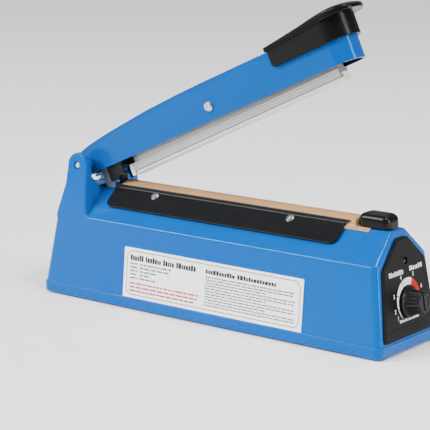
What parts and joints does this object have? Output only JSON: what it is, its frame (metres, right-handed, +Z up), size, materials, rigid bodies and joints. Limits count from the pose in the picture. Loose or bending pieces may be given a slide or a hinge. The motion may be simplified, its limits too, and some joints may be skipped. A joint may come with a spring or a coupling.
{
  "type": "impulse heat sealer",
  "caption": "Hand impulse heat sealer with a hinged arm, floating press bar, fabric-covered sealing bed and a timer knob at one end.",
  "frame": {"origin": "middle of the whole footprint, on the plane the rubber feet stand on", "axes": "+X along the sealer from the hinge towards the timer knob, -Y towards the operator's side, +Z up"},
  "size_m": [0.3392, 0.08, 0.2448],
  "materials": {
    "blue_shell": "satin gloss",
    "blue_arm": "satin gloss",
    "panel_black": "matte",
    "grip_black": "satin gloss",
    "plate_black": "satin powder coat",
    "cap_black": "satin gloss",
    "pusher_black": "matte",
    "knob_black": "matte",
    "zinc_steel": "bright zinc plate",
    "galvanised_steel": "dull",
    "bar_aluminium": "mill extrusion",
    "bed_aluminium": "mill extrusion",
    "nichrome": "dull",
    "ptfe_fabric": "woven, coated",
    "white_silicone": "matte",
    "white_plastic": "matte",
    "brass_terminal": "bright",
    "red_lens": "satin gloss",
    "foot_rubber": "matte",
    "label_paper": "satin laminate",
    "nylon_spacer": "matte",
    "spring_steel": "dull",
    "board_green": "matte",
    "relay_case": "satin gloss",
    "capacitor_can": "mill extrusion",
    "core_steel": "dark, laminated",
    "coil_wrap": "matte",
    "gland_black": "matte"
  },
  "bodies": {
    "base": {"base_housing": "blue_shell", "bottom_plate": "galvanised_steel", "foot_1": "foot_rubber", "foot_2": "foot_rubber", "foot_3": "foot_rubber", "foot_4": "foot_rubber", "base_screw_1": "zinc_steel", "base_screw_2": "zinc_steel", "base_screw_3": "zinc_steel", "base_screw_4": "zinc_steel", "control_panel": "panel_black", "indicator_lens": "red_lens", "timer_pot": "galvanised_steel", "pot_nut": "zinc_steel", "instruction_label": "label_paper", "bed_bar": "bed_aluminium", "heating_element": "nichrome", "ptfe_sheet": "ptfe_fabric", "clamp_plate_front": "plate_black", "clamp_plate_back": "plate_black", "clamp_screw_front_rear": "zinc_steel", "clamp_screw_front_nose": "zinc_steel", "clamp_screw_back_rear": "zinc_steel", "clamp_screw_back_nose": "zinc_steel", "terminal_cap": "cap_black", "front_terminal": "brass_terminal", "rear_terminal": "brass_terminal", "hinge_pin": "zinc_steel", "pin_spacer_front": "nylon_spacer", "pin_spacer_back": "nylon_spacer", "return_spring": "spring_steel", "spring_seat": "galvanised_steel", "microswitch": "pusher_black", "transformer_core": "core_steel", "transformer_coil": "coil_wrap", "transformer_strap": "galvanised_steel", "timer_board": "board_green", "board_relay": "relay_case", "board_capacitor": "capacitor_can", "cord_gland": "gland_black"},
    "arm": {"arm_channel": "blue_arm", "handle_grip": "grip_black", "grip_screw": "zinc_steel", "pusher_block": "pusher_black", "pusher_bracket": "galvanised_steel", "link_fork": "zinc_steel", "pivot_screw": "zinc_steel", "pivot_nut": "zinc_steel"},
    "floating_bar": {"press_bar": "bar_aluminium", "silicone_strip": "white_silicone", "bar_end_piece": "white_plastic"},
    "return_rod": {"push_rod": "zinc_steel"},
    "knob": {"timer_knob": "knob_black"}
  },
  "joints": [
    {"name": "arm_hinge", "type": "hinge", "parent": "base", "child": "arm", "pos_m": [-0.13256, 0, 0.105], "axis": [0, 1, 0], "range_deg": [0, 20.5], "stiffness_Nm_per_rad": 0.7, "springref_deg": -57.3},
    {"name": "press_bar_rock", "type": "hinge", "parent": "arm", "child": "floating_bar", "pos_m": [-0.01309, 0, 0.16117], "axis": [0, 1, 0], "range_deg": [0, 4.78]},
    {"name": "push_rod_slide", "type": "slide", "parent": "base", "child": "return_rod", "axis": [0, 0, 1], "range_m": [-0.00624, 0], "deforming": ["return_spring"]},
    {"name": "knob_turn", "type": "hinge", "parent": "base", "child": "knob", "pos_m": [0.1533, 0, 0.03488], "axis": [0.9904, 0, 0.138], "range_deg": [-135, 135]}
  ],
  "couplings": [
    {"joint": "press_bar_rock", "follows": "arm_hinge", "ratio": 0.2305},
    {"joint": "push_rod_slide", "follows": "arm_hinge", "m_per_rad": -0.017166}
  ]
}
